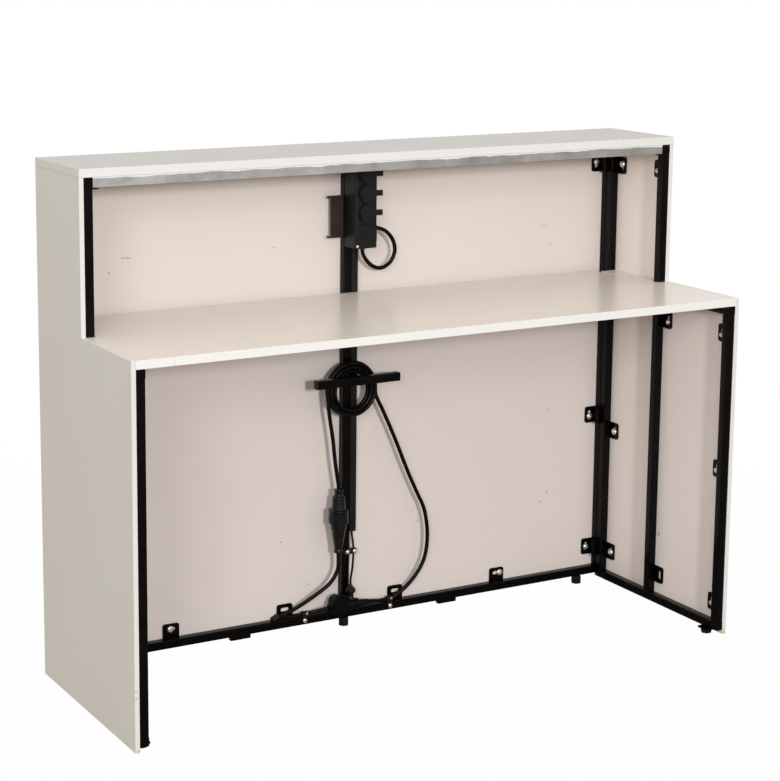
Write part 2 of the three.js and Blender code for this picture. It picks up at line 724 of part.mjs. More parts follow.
put("tail_cord", "rubber", cord(tailCord, cordRadius, 28));
const dropLead = [
  [12, frameNear + 6, trunkFoot - 2 * gap],
  [12, frameNear + 6, trunkFoot - 8],
  ...inFront([[11.8, -1.3, 206], [10.5, 4.7, 188], [9, 7.2, 172], [4, 11.2, 140], [-0.6, 12.2, 118]]),
  [smallPlugX, splitterY, smallTop + 6],
  [smallPlugX, splitterY, smallTop + 2 * gap],
];
put("drop_lead", "rubber", cord(dropLead, leadRadius, 22, 6));
const railLead = [
  [barrelEnds[0] - 2 * gap, splitterY, splitterZ],
  [barrelEnds[0] - 6, splitterY, splitterZ],
  ...inFront([[-73, 10.2, 53], [-93, 1.7, 48], [-117, -1.4, railRun]]),
  ...inFront([[-145, -1.6, railRun], [-176, -1.6, railRun]]),
];
put("rail_lead", "rubber", cord(railLead, cordRadius, 16));

// Boot on the rail, where both leads go inside
const bootEnds = [-198, -172 - gap];
const bootTop = railRun + cordRadius + 4;
const bootFoot = [[bootEnds[0], railTop], [bootEnds[1], railTop]];
const bootBack = [[bootEnds[1], bootTop], [bootEnds[1] - 8, bootTop], [bootEnds[0], bootTop - 9]];
const bootSide = [...bootFoot, ...bootBack];
const bootShape = new THREE.Shape(bootSide.map(([x, z]) => new THREE.Vector2(x, z)));
const boot = new THREE.ExtrudeGeometry(bootShape, { depth: 22, bevelEnabled: false });
boot.rotateX(Math.PI / 2);
boot.translate(0, frameFar - tabThick - gap, 0);
const connectorBore = solid(cord(connectorLead, cordRadius + gap, 20));
const railBore = solid(cord(railLead, cordRadius + gap, 16));
put("rail_boot", "rubber", solid(boot).subtract(connectorBore).subtract(railBore));

// Cable clips: a loop over the cord and a leaf down the face of the rail
function railClip(x, out, run) {
  const ends = [x - clipWidth / 2, x + clipWidth / 2];
  const loop = rod("x", ends[0], ends[1], frameNear - out, railRun + 0.5, cordRadius + clipThick, 16)
    .trimByPlane([0, 0, 1], railTop);
  const leaf = box(ends, [frameNear - clipThick - gap, frameNear - gap], [railTop - 17, railRun]);
  return loop.add(leaf).subtract(run);
}
put("rail_clip_left", "plastic", railClip(clipPlaces[0], -1.4, railBore));
const cordBore = solid(cord(cordRight, cordRadius + gap, 44));
put("rail_clip_right", "plastic", railClip(clipPlaces[1], -5.3, cordBore));
const postClip = moulded([postX - 7, postX + 23], [frameNear - 10.7, frameNear - gap], postClipHeights, 1.5);
put("post_clip", "plastic", postClip.subtract(solid(cord(dropLead, leadRadius + gap, 22, 6))));

export default bar;
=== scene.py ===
import json
import math
import bpy
from mathutils import Matrix, Vector


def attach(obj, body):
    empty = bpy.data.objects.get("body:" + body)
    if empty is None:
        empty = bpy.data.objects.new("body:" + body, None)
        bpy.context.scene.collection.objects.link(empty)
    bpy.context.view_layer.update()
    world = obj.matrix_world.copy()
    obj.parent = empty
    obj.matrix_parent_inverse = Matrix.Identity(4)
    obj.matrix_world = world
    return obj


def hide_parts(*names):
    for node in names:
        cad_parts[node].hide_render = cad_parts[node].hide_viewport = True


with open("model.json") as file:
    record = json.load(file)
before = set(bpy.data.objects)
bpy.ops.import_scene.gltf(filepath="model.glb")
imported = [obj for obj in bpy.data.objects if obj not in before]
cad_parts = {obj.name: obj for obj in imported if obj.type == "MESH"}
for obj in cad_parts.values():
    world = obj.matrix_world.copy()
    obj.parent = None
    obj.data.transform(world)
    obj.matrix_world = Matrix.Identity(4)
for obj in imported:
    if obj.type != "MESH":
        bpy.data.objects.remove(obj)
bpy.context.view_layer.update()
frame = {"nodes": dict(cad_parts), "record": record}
scene = bpy.context.scene
nodeBody = {node: body for body, nodes in frame["record"]["behaviour"]["bodies"].items() for node in nodes}
print("frame loaded:", len(frame["nodes"]), "nodes")

# camera of the photograph: place in metres, angles in radians, focal length and middle in pixels
photoCamera = {
    "picture": (780, 781),
    "sensor": 36,
    "reach": 60,
    "place": (-2.23114, -3.69528, 1.59889),
    "turn": -0.49310,
    "down": 0.17107,
    "roll": 0.003279,
    "focalPixels": 1986.689,
    "middle": (301.548, 283.46),
}


def makeCamera(s):
    turn, down, roll = s["turn"], s["down"], s["roll"]
    forward = Vector((-math.sin(turn) * math.cos(down), math.cos(turn) * math.cos(down), -math.sin(down)))
    right = Vector((math.cos(turn), math.sin(turn), 0))
    up = right.cross(forward)
    across = right * math.cos(roll) + up * math.sin(roll)
    above = up * math.cos(roll) - right * math.sin(roll)
    bpy.ops.object.camera_add(location=s["place"])
    camera = bpy.context.active_object
    camera.name = "photoCamera"
    camera.rotation_euler = Matrix((across, above, -forward)).transposed().to_euler()
    wide, high = s["picture"]
    camera.data.sensor_width = s["sensor"]
    camera.data.lens = s["sensor"] * s["focalPixels"] / wide
    camera.data.shift_x = (wide / 2 - s["middle"][0]) / wide
    camera.data.shift_y = (s["middle"][1] - high / 2) / wide
    camera.data.clip_end = s["reach"]
    scene.camera = camera


makeCamera(photoCamera)
print("camera placed")


# selection and edit helpers
def selectOnly(piece):
    if bpy.context.mode != "OBJECT":
        bpy.ops.object.mode_set(mode="OBJECT")
    bpy.ops.object.select_all(action="DESELECT")
    piece.select_set(True)
    bpy.context.view_layer.objects.active = piece


def editAll(piece):
    selectOnly(piece)
    bpy.ops.object.mode_set(mode="EDIT")
    bpy.ops.mesh.select_all(action="SELECT")


def leaveEdit():
    bpy.ops.object.mode_set(mode="OBJECT")


def pickFaces(piece, test):
    editAll(piece)
    bpy.ops.mesh.select_mode(type="FACE")
    bpy.ops.mesh.select_all(action="DESELECT")
    leaveEdit()
    for face in piece.data.polygons:
        face.select = test(face)
    bpy.ops.object.mode_set(mode="EDIT")


# moves the vertices that pass a test
def nudge(piece, test, move):
    editAll(piece)
    bpy.ops.mesh.select_mode(type="VERT")
    bpy.ops.mesh.select_all(action="DESELECT")
    leaveEdit()
    for corner in piece.data.vertices:
        corner.select = test(corner.co)
    bpy.ops.object.mode_set(mode="EDIT")
    bpy.ops.transform.translate(value=move)
    leaveEdit()


def applyPlace(piece):
    selectOnly(piece)
    bpy.ops.object.transform_apply(location=True, rotation=True, scale=True)


def bevelEdges(piece, width, segments=2, angle=35):
    selectOnly(piece)
    bevel = piece.modifiers.new("softEdge", "BEVEL")
    bevel.width = width
    bevel.segments = segments
    bevel.limit_method = "ANGLE"
    bevel.angle_limit = math.radians(angle)
    bpy.ops.object.modifier_apply(modifier="softEdge")


def smooth(piece, angle=40):
    selectOnly(piece)
    bpy.ops.object.shade_smooth_by_angle(angle=math.radians(angle))


# normals led by the large faces, so that flat faces beside a soft edge stay flat
def evenNormals(piece):
    selectOnly(piece)
    lead = piece.modifiers.new("evenNormals", "WEIGHTED_NORMAL")
    lead.mode = "FACE_AREA"
    lead.weight = 90
    lead.keep_sharp = True
    bpy.ops.object.modifier_apply(modifier="evenNormals")


def dress(piece, body, slot, *materials):
    piece.data.materials.clear()
    for material in materials:
        piece.data.materials.append(material)
    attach(piece, body)


# a rigid node's copy with softened edges, in the same place; its flat facets are joined first
weld = {"distance": 0.00001, "flatAngle": 1.5}


def edgedCopy(node, slot, materials, width, segments=2, angle=35, smoothAngle=40, moves=()):
    source = frame["nodes"][node]
    selectOnly(source)
    bpy.ops.object.duplicate()
    piece = bpy.context.active_object
    piece.name = node + "_finish"
    piece.parent = None
    for key in list(piece.keys()):
        del piece[key]
    editAll(piece)
    bpy.ops.mesh.remove_doubles(threshold=weld["distance"])
    bpy.ops.mesh.dissolve_limited(angle_limit=math.radians(weld["flatAngle"]))
    leaveEdit()
    for test, move in moves:
        nudge(piece, test, move)
    bevelEdges(piece, width, segments, angle)
    smooth(piece, smoothAngle)
    evenNormals(piece)
    dress(piece, nodeBody[node], slot, *materials)
    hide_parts(node)
    return piece


# shader helpers
def addNode(tree, kind, x=0, y=0, **settings):
    node = tree.nodes.new(kind)
    node.location = (x, y)
    for name, value in settings.items():
        setattr(node, name, value)
    return node


def newGroup(name, inputs, outputs):
    tree = bpy.data.node_groups.new(name, "ShaderNodeTree")
    for label, kind, value in inputs:
        socket = tree.interface.new_socket(name=label, in_out="INPUT", socket_type=kind)
        if value is not None:
            socket.default_value = value
    for label, kind in outputs:
        tree.interface.new_socket(name=label, in_out="OUTPUT", socket_type=kind)
    return tree, addNode(tree, "NodeGroupInput", -900), addNode(tree, "NodeGroupOutput", 700)


def newMaterial(name, **sockets):
    material = bpy.data.materials.new(name)
    material.use_nodes = True
    tree = material.node_tree
    shader = tree.nodes["Principled BSDF"]
    for label, value in sockets.items():
        shader.inputs[label.replace("_", " ")].default_value = value
    coords = addNode(tree, "ShaderNodeTexCoord", -1100)
    return material, tree, shader, coords.outputs["Object"]


def placeGroup(tree, group, x, y, **values):
    node = addNode(tree, "ShaderNodeGroup", x, y, node_tree=group)
    for label, value in values.items():
        node.inputs[label.replace("_", " ")].default_value = value
    return node


def mixColour(tree, x, y):
    return addNode(tree, "ShaderNodeMix", x, y, data_type="RGBA")


# cloudy change of tone, from 0 to 1 about one half
def makeCloudGroup():
    takes = [("Vector", "NodeSocketVector", None), ("Scale", "NodeSocketFloat", 6.0),
        ("Contrast", "NodeSocketFloat", 1.0)]
    tree, come, go = newGroup("cloudyTone", takes, [("Tone", "NodeSocketFloat")])
    noise = addNode(tree, "ShaderNodeTexNoise", -600)
    noise.inputs["Detail"].default_value = 4
    noise.inputs["Roughness"].default_value = 0.6
    shift = addNode(tree, "ShaderNodeMath", -350, operation="SUBTRACT")
    shift.inputs[1].default_value = 0.5
    gain = addNode(tree, "ShaderNodeMath", -150, operation="MULTIPLY")
    back = addNode(tree, "ShaderNodeMath", 50, operation="ADD", use_clamp=True)
    back.inputs[1].default_value = 0.5
    tree.links.new(come.outputs["Vector"], noise.inputs["Vector"])
    tree.links.new(come.outputs["Scale"], noise.inputs["Scale"])
    tree.links.new(noise.outputs["Fac"], shift.inputs[0])
    tree.links.new(shift.outputs[0], gain.inputs[0])
    tree.links.new(come.outputs["Contrast"], gain.inputs[1])
    tree.links.new(gain.outputs[0], back.inputs[0])
    tree.links.new(back.outputs[0], go.inputs["Tone"])
    return tree


# fine skin of a coating or a moulding, as a normal
def makePeelGroup():
    takes = [("Vector", "NodeSocketVector", None), ("Scale", "NodeSocketFloat", 900.0),
        ("Strength", "NodeSocketFloat", 0.2), ("Depth", "NodeSocketFloat", 0.0001)]
    tree, come, go = newGroup("fineSkin", takes, [("Normal", "NodeSocketVector")])
    noise = addNode(tree, "ShaderNodeTexNoise", -500)
    noise.inputs["Detail"].default_value = 2
    bump = addNode(tree, "ShaderNodeBump", 100)
    tree.links.new(come.outputs["Vector"], noise.inputs["Vector"])
    tree.links.new(come.outputs["Scale"], noise.inputs["Scale"])
    tree.links.new(come.outputs["Strength"], bump.inputs["Strength"])
    tree.links.new(come.outputs["Depth"], bump.inputs["Distance"])
    tree.links.new(noise.outputs["Fac"], bump.inputs["Height"])
    tree.links.new(bump.outputs["Normal"], go.inputs["Normal"])
    return tree


# round mark at a place, 1 in the middle and 0 outside
def makeMarkGroup():
    takes = [("Vector", "NodeSocketVector", None), ("Place", "NodeSocketVector", None),
        ("Radius", "NodeSocketFloat", 0.003)]
    tree, come, go = newGroup("roundMark", takes, [("Mask", "NodeSocketFloat")])
    away = addNode(tree, "ShaderNodeVectorMath", -500, operation="DISTANCE")
    share = addNode(tree, "ShaderNodeMath", -250, operation="DIVIDE")
    fade = addNode(tree, "ShaderNodeMath", 0, operation="SUBTRACT", use_clamp=True)
    fade.inputs[0].default_value = 1
    tree.links.new(come.outputs["Vector"], away.inputs[0])
    tree.links.new(come.outputs["Place"], away.inputs[1])
    tree.links.new(away.outputs["Value"], share.inputs[0])
    tree.links.new(come.outputs["Radius"], share.inputs[1])
    tree.links.new(share.outputs[0], fade.inputs[1])
    tree.links.new(fade.outputs[0], go.inputs["Mask"])
    return tree


# thin straight line where one coordinate has a value
def makeLineGroup():
    takes = [("Value", "NodeSocketFloat", 0.0), ("At", "NodeSocketFloat", 0.0),
        ("Half", "NodeSocketFloat", 0.0005)]
    tree, come, go = newGroup("thinLine", takes, [("Mask", "NodeSocketFloat")])
    near = addNode(tree, "ShaderNodeMath", -300, operation="SUBTRACT")
    size = addNode(tree, "ShaderNodeMath", -100, operation="ABSOLUTE")
    inside = addNode(tree, "ShaderNodeMath", 100, operation="LESS_THAN")
    tree.links.new(come.outputs["Value"], near.inputs[0])
    tree.links.new(come.outputs["At"], near.inputs[1])
    tree.links.new(near.outputs[0], size.inputs[0])
    tree.links.new(size.outputs[0], inside.inputs[0])
    tree.links.new(come.outputs["Half"], inside.inputs[1])
    tree.links.new(inside.outputs[0], go.inputs["Mask"])
    return tree


cloudyTone = makeCloudGroup()
fineSkin = makePeelGroup()
roundMark = makeMarkGroup()
thinLine = makeLineGroup()


# what all laminates share: the clouds of tone, the wear in the gloss and the skin
laminateGrain = {
    "index": 1.46,
    "cloudScale": 2.6,
    "cloudContrast": 1.6,
    "wearScale": 14.0,
    "wearContrast": 1.4,
    "skinScale": 1400.0,
    "skinStrength": 0.05,
    "skinDepth": 0.0001,
}
# beige laminate of the front panel's inner face, with the small nicks of use
panelLook = {
    "pale": (0.597, 0.535, 0.499, 1),
    "deep": (0.571, 0.507, 0.47, 1),
    "nick": (0.05, 0.035, 0.03, 1),
    "roughness": 0.42,
    "wear": 0.055,
}


def makeLaminate(name, look, marks=(), lines=()):
    s = laminateGrain
    material, tree, shader, coords = newMaterial(name, Roughness=look["roughness"], IOR=s["index"])
    cloud = placeGroup(tree, cloudyTone, -800, 200, Scale=s["cloudScale"], Contrast=s["cloudContrast"])
    tree.links.new(coords, cloud.inputs["Vector"])
    tone = mixColour(tree, -550, 200)
    tone.inputs["A"].default_value = look["deep"]
    tone.inputs["B"].default_value = look["pale"]
    tree.links.new(cloud.outputs["Tone"], tone.inputs["Factor"])
    colour = tone.outputs["Result"]
    for number, (place, radius) in enumerate(marks):
        mark = placeGroup(tree, roundMark, -800, -200 - 160 * number, Place=place, Radius=radius)
        tree.links.new(coords, mark.inputs["Vector"])
        nick = mixColour(tree, -300 + 120 * number, 200)
        nick.inputs["B"].default_value = look["nick"]
        tree.links.new(mark.outputs["Mask"], nick.inputs["Factor"])
        tree.links.new(colour, nick.inputs["A"])
        colour = nick.outputs["Result"]
    if lines:
        split = addNode(tree, "ShaderNodeSeparateXYZ", -1000, -500)
        tree.links.new(coords, split.inputs[0])
    for number, (axis, at, half, shade) in enumerate(lines):
        line = placeGroup(tree, thinLine, -800, -500 - 160 * number, At=at, Half=half)
        tree.links.new(split.outputs[axis], line.inputs["Value"])
        dark = mixColour(tree, -300 + 120 * number, 0)
        dark.inputs["B"].default_value = shade
        tree.links.new(line.outputs["Mask"], dark.inputs["Factor"])
        tree.links.new(colour, dark.inputs["A"])
        colour = dark.outputs["Result"]
    tree.links.new(colour, shader.inputs["Base Color"])
    wear = placeGroup(tree, cloudyTone, -800, 500, Scale=s["wearScale"], Contrast=s["wearContrast"])
    tree.links.new(coords, wear.inputs["Vector"])
    gloss = addNode(tree, "ShaderNodeMapRange", -300, 500)
    gloss.inputs["To Min"].default_value = look["roughness"] - look["wear"]
    gloss.inputs["To Max"].default_value = look["roughness"] + look["wear"]
    tree.links.new(wear.outputs["Tone"], gloss.inputs["Value"])
    tree.links.new(gloss.outputs["Result"], shader.inputs["Roughness"])
    skin = placeGroup(tree, fineSkin, -300, -900, Scale=s["skinScale"], Strength=s["skinStrength"],
        Depth=s["skinDepth"])
    tree.links.new(coords, skin.inputs["Vector"])
    tree.links.new(skin.outputs["Normal"], shader.inputs["Normal"])
    return material


# nicks in the inner faces: x, z and radius on the front panel, and one spot on the right panel
panelFace = 0.239
frontNicks = [(-0.558, 0.9173, 0.0028), (-0.552, 0.917, 0.0026), (-0.546, 0.9167, 0.0026),
    (-0.5405, 0.9164, 0.0028), (-0.59, 0.887, 0.003), (-0.188, 0.915, 0.0026), (0.543, 0.9127, 0.002),
    (0.549, 0.9162, 0.002), (0.555, 0.9157, 0.002), (0.571, 0.8707, 0.0026), (-0.168, 0.222, 0.003),
    (-0.0965, 0.1097, 0.0028), (0.5754, 0.456, 0.003), (0.5776, 0.2448, 0.003), (0.56, 0.2224, 0.003),
    (0.2027, 0.223, 0.003)]
panelNicks = [((x, panelFace, z), radius) for x, z, radius in frontNicks]
sideNicks = [((0.74, -0.004, 0.1814), 0.004), ((0.74, -0.0045, 0.1765), 0.0035)]
panelLaminate = makeLaminate("panelLaminate", panelLook, panelNicks)
# side panels' inner faces: a lighter copy of the panel laminate, its extra brightness painted light
sidePaintedLightLook = dict(panelLook, pale=(0.841, 0.765, 0.72, 1), deep=(0.817, 0.737, 0.69, 1))
sidePaintedLightLaminate = makeLaminate("sidePaintedLightLaminate", sidePaintedLightLook, sideNicks)
# outer faces, backs and shelf ends: a grey-beige tone of its own, its lower brightness painted shade
outerPaintedShadeLook = dict(panelLook, pale=(0.697, 0.662, 0.6, 1), deep=(0.669, 0.633, 0.567, 1))
outerPaintedShadeLaminate = makeLaminate("outerPaintedShadeLaminate", outerPaintedShadeLook)
# worktop and fillets: a yellower glossy tone of its own, its brightness above the panels' painted light
topPaintedLightLook = {
    "pale": (0.735, 0.663, 0.582, 1),
    "deep": (0.72, 0.646, 0.564, 1),
    "roughness": 0.24,
    "wear": 0.02,
}
worktopPaintedLightLaminate = makeLaminate("worktopPaintedLightLaminate", topPaintedLightLook)
# shelf top: a darker copy of the laminate, its lower brightness painted shade
shelfPaintedShadeLook = {
    "pale": (0.498, 0.468, 0.428, 1),
    "deep": (0.472, 0.441, 0.401, 1),
    "roughness": 0.34,
    "wear": 0.03,
}
shelfPaintedShadeLaminate = makeLaminate("shelfPaintedShadeLaminate", shelfPaintedShadeLook)

# edge bands: corner chips on the panels, a butt seam on the worktop and on the shelf; the panels' band is a
# darker copy, painted shade, and the worktop's band a lighter copy, painted light
bandLook = {
    "pale": (0.597, 0.583, 0.56, 1),
    "deep": (0.57, 0.554, 0.529, 1),
    "nick": (0.45, 0.33, 0.17, 1),
    "roughness": 0.45,
    "wear": 0.05,
}
seam = {"half": 0.0006, "shade": (0.48, 0.45, 0.41, 1), "worktop": -0.6583, "shelf": 0.6025}
# panels' edge band: a darker copy of the band, painted shade
panelBandPaintedShadeLook = dict(bandLook, pale=(0.59, 0.57, 0.543, 1), deep=(0.557, 0.533, 0.505, 1))
nearEdge = -0.249
cornerChips = [((0.7405, nearEdge, 0.006), 0.012), ((0.742, nearEdge, 0.003), 0.008),
    ((-0.742, nearEdge, 0.006), 0.007), ((-0.7475, nearEdge, 0.118), 0.005),
    ((-0.747, nearEdge, 0.132), 0.004)]
paintedShadeEdgeBand = makeLaminate("paintedShadeEdgeBand", panelBandPaintedShadeLook, cornerChips)
# worktop's edge band: a lighter copy of the band, painted light
worktopBandPaintedLightLook = dict(bandLook, pale=(0.65, 0.634, 0.61, 1), deep=(0.624, 0.605, 0.578, 1))
worktopSeam = ("X", seam["worktop"], seam["half"], seam["shade"])
worktopBandPaintedLight = makeLaminate("worktopBandPaintedLight", worktopBandPaintedLightLook, (), [worktopSeam])
shelfSeam = ("X", seam["shelf"], seam["half"], seam["shade"])
shelfBand = makeLaminate("shelfBand", bandLook, (), [shelfSeam])


# coatings, mouldings and metals; each has its own grain of skin
coatGrain = {"cloudScale": 22.0, "cloudContrast": 1.8, "spread": 0.08, "skinDepth": 0.0002}
coatLooks = {
    "framePowder": {
        "pale": (0.0016, 0.0013, 0.0011, 1), "deep": (0.0008, 0.0007, 0.0006, 1), "roughness": 0.24,
        "skinScale": 1200.0, "skinStrength": 0.1, "gleam": 0.12, "metallic": 0.0,
    },
    "blackMould": {
        "pale": (0.0075, 0.007, 0.0065, 1), "deep": (0.005, 0.0046, 0.0042, 1), "roughness": 0.36,
        "skinScale": 1600.0, "skinStrength": 0.25, "gleam": 0.2, "metallic": 0.0,
    },
    "plugMould": {
        "pale": (0.0035, 0.0035, 0.0036, 1), "deep": (0.002, 0.002, 0.002, 1), "roughness": 0.27,
        "skinScale": 1500.0, "skinStrength": 0.12, "gleam": 0.36, "metallic": 0.0,
    },
    "cordRubber": {
        "pale": (0.0026, 0.0022, 0.0019, 1), "deep": (0.0016, 0.0013, 0.0011, 1), "roughness": 0.38,
        "skinScale": 700.0, "skinStrength": 0.2, "gleam": 0.1, "metallic": 0.0,
    },
    "bracketBrown": {
        "pale": (0.03, 0.018, 0.014, 1), "deep": (0.018, 0.011, 0.009, 1), "roughness": 0.45,
        "skinScale": 1200.0, "skinStrength": 0.3, "gleam": 0.2, "metallic": 0.0,
    },
    "zincScrew": {
        "pale": (0.88, 0.88, 0.88, 1), "deep": (0.74, 0.74, 0.75, 1), "roughness": 0.32,
        "skinScale": 2500.0, "skinStrength": 0.1, "gleam": 0.5, "metallic": 1.0,
    },
    "brassScrew": {
        "pale": (0.75, 0.62, 0.38, 1), "deep": (0.6, 0.47, 0.26, 1), "roughness": 0.25,
        "skinScale": 2500.0, "skinStrength": 0.1, "gleam": 0.5, "metallic": 1.0,
    },
}


def makeCoat(name, look):
    s = coatGrain
    material, tree, shader, coords = newMaterial(name, Metallic=look["metallic"],
        Specular_IOR_Level=look["gleam"])
    cloud = placeGroup(tree, cloudyTone, -800, 200, Scale=s["cloudScale"], Contrast=s["cloudContrast"])
    tree.links.new(coords, cloud.inputs["Vector"])
    tone = mixColour(tree, -500, 200)
    tone.inputs["A"].default_value = look["deep"]
    tone.inputs["B"].default_value = look["pale"]
    tree.links.new(cloud.outputs["Tone"], tone.inputs["Factor"])
    tree.links.new(tone.outputs["Result"], shader.inputs["Base Color"])
    gloss = addNode(tree, "ShaderNodeMapRange", -500, -50)
    gloss.inputs["To Min"].default_value = look["roughness"] - s["spread"]
    gloss.inputs["To Max"].default_value = look["roughness"] + s["spread"]
    tree.links.new(cloud.outputs["Tone"], gloss.inputs["Value"])
    tree.links.new(gloss.outputs["Result"], shader.inputs["Roughness"])
    skin = placeGroup(tree, fineSkin, -500, -400, Scale=look["skinScale"], Strength=look["skinStrength"],
        Depth=s["skinDepth"])
    tree.links.new(coords, skin.inputs["Vector"])
    tree.links.new(skin.outputs["Normal"], shader.inputs["Normal"])
    return material


coats = {name: makeCoat(name, look) for name, look in coatLooks.items()}


# matt dented aluminium with a ragged pale, non-metal band along its upper border
stripLook = {
    "deep": (0.28, 0.275, 0.265, 1),
    "pale": (0.45, 0.445, 0.435, 1),
    "paleBorder": (0.6, 0.588, 0.565, 1),
    "paleBorderFrom": 1.1296,
    "ragged": 0.012,
    "toneScale": 12.0,
    "toneContrast": 1.8,
    "tearScale": 12,
    "tearDetail": 3,
    "roughness": (0.46, 0.66),
    "dentScale": 40,
    "dentDetail": 2,
    "dentStrength": 0.4,
    "dentDepth": 0.003,
}


def makeAluminium(s):
    material, tree, shader, coords = newMaterial("millAluminium")
    cloud = placeGroup(tree, cloudyTone, -800, 300, Scale=s["toneScale"], Contrast=s["toneContrast"])
    tree.links.new(coords, cloud.inputs["Vector"])
    tone = mixColour(tree, -500, 300)
    tone.inputs["A"].default_value = s["deep"]
    tone.inputs["B"].default_value = s["pale"]
    tree.links.new(cloud.outputs["Tone"], tone.inputs["Factor"])
    along = addNode(tree, "ShaderNodeMapping", -900, -50)
    along.inputs["Scale"].default_value = (s["tearScale"], 0, 0)
    tree.links.new(coords, along.inputs["Vector"])
    tear = addNode(tree, "ShaderNodeTexNoise", -700, -50)
    tear.inputs["Scale"].default_value = 1
    tear.inputs["Detail"].default_value = s["tearDetail"]
    tree.links.new(along.outputs[0], tear.inputs["Vector"])
    split = addNode(tree, "ShaderNodeSeparateXYZ", -900, -300)
    tree.links.new(coords, split.inputs[0])
    lift = addNode(tree, "ShaderNodeMath", -500, -50, operation="MULTIPLY_ADD")
    lift.inputs[1].default_value = s["ragged"]
    tree.links.new(tear.outputs["Fac"], lift.inputs[0])
    tree.links.new(split.outputs["Z"], lift.inputs[2])
    paleBorder = addNode(tree, "ShaderNodeMath", -300, -50, operation="GREATER_THAN")
    paleBorder.inputs[1].default_value = s["paleBorderFrom"]
    tree.links.new(lift.outputs[0], paleBorder.inputs[0])
    bare = addNode(tree, "ShaderNodeMath", -100, -50, operation="SUBTRACT")
    bare.inputs[0].default_value = 1
    tree.links.new(paleBorder.outputs[0], bare.inputs[1])
    tree.links.new(bare.outputs[0], shader.inputs["Metallic"])
    cover = mixColour(tree, -100, 300)
    cover.inputs["B"].default_value = s["paleBorder"]
    tree.links.new(paleBorder.outputs[0], cover.inputs["Factor"])
    tree.links.new(tone.outputs["Result"], cover.inputs["A"])
    tree.links.new(cover.outputs["Result"], shader.inputs["Base Color"])
    gloss = addNode(tree, "ShaderNodeMapRange", -300, -250)
    gloss.inputs["To Min"].default_value = s["roughness"][0]
    gloss.inputs["To Max"].default_value = s["roughness"][1]
    tree.links.new(cloud.outputs["Tone"], gloss.inputs["Value"])
    tree.links.new(gloss.outputs["Result"], shader.inputs["Roughness"])
    dents = addNode(tree, "ShaderNodeTexNoise", -700, -550)
    dents.inputs["Scale"].default_value = s["dentScale"]
    dents.inputs["Detail"].default_value = s["dentDetail"]
    tree.links.new(coords, dents.inputs["Vector"])
    bump = addNode(tree, "ShaderNodeBump", -300, -550)
    bump.inputs["Strength"].default_value = s["dentStrength"]
    bump.inputs["Distance"].default_value = s["dentDepth"]
    tree.links.new(dents.outputs["Fac"], bump.inputs["Height"])
    tree.links.new(bump.outputs["Normal"], shader.inputs["Normal"])
    return material


millAluminium = makeAluminium(stripLook)
print("materials made")


# cords: the routes of the solids, in millimetres
# the coil starts at an angle in degrees and changes its layer within climb, a share of a turn
coilShape = {
    "x": -7,
    "z": 575.2,
    "outer": 66,
    "pitch": 9.9,
    "layers": (193.5, 203.6),
    "start": 190,
    "wholeTurns": 4,
    "climb": 0.5,
    "knots": 120,
    "tinyShare": 0.0001,
}
coilShape["turns"] = coilShape["wholeTurns"] + coilShape["start"] / 360
stepsPerSpan = 24


def coilPoint(share):
    s = coilShape
    turn = s["turns"] * share
    half = s["turns"] / 2
    climb = min(max((turn - half + s["climb"] / 2) / s["climb"], 0), 1)
    ease = climb * climb * (3 - 2 * climb)
    radius = s["outer"] - s["pitch"] * (half - abs(turn - half))
    angle = math.radians(s["start"]) - 2 * math.pi * turn
    depth = s["layers"][0] + (s["layers"][1] - s["layers"][0]) * ease
    return Vector((s["x"] + radius * math.cos(angle), depth, s["z"] + radius * math.sin(angle)))


def pastCoil(share, reach):
    step = coilShape["tinyShare"] if share == 0 else -coilShape["tinyShare"]
    away = (coilPoint(share) - coilPoint(share + step)).normalized()
    return tuple(coilPoint(share) + away * reach)


# the same centripetal route as the solids follow
def routePoints(points, count):
    knots = [Vector(p) for p in points]
    whole = [2 * knots[0] - knots[1]] + knots + [2 * knots[-1] - knots[-2]]
    fine = []
    for k in range(1, len(whole) - 2):
        a, b, c, d = whole[k - 1:k + 3]
        ta = 0.0
        tb = ta + max((b - a).length, 1e-6) ** 0.5
        tc = tb + max((c - b).length, 1e-6) ** 0.5
        td = tc + max((d - c).length, 1e-6) ** 0.5
        for step in range(stepsPerSpan):
            t = tb + (tc - tb) * step / stepsPerSpan
            p1 = a * ((tb - t) / (tb - ta)) + b * ((t - ta) / (tb - ta))
            p2 = b * ((tc - t) / (tc - tb)) + c * ((t - tb) / (tc - tb))
            p3 = c * ((td - t) / (td - tc)) + d * ((t - tc) / (td - tc))
            q1 = p1 * ((tc - t) / (tc - ta)) + p2 * ((t - ta) / (tc - ta))
            q2 = p2 * ((td - t) / (td - tb)) + p3 * ((t - tb) / (td - tb))
            fine.append(q1 * ((tc - t) / (tc - tb)) + q2 * ((t - tb) / (tc - tb)))
    fine.append(knots[-1])
    lengths = [0.0]
    for a, b in zip(fine, fine[1:]):
        lengths.append(lengths[-1] + (b - a).length)
    picked = []
    k = 0
    for i in range(count):
        want = lengths[-1] * i / (count - 1)
        while k < len(lengths) - 2 and lengths[k + 1] < want:
            k += 1
        span = lengths[k + 1] - lengths[k]
        picked.append(fine[k].lerp(fine[k + 1], (want - lengths[k]) / span if span else 0))
    return picked


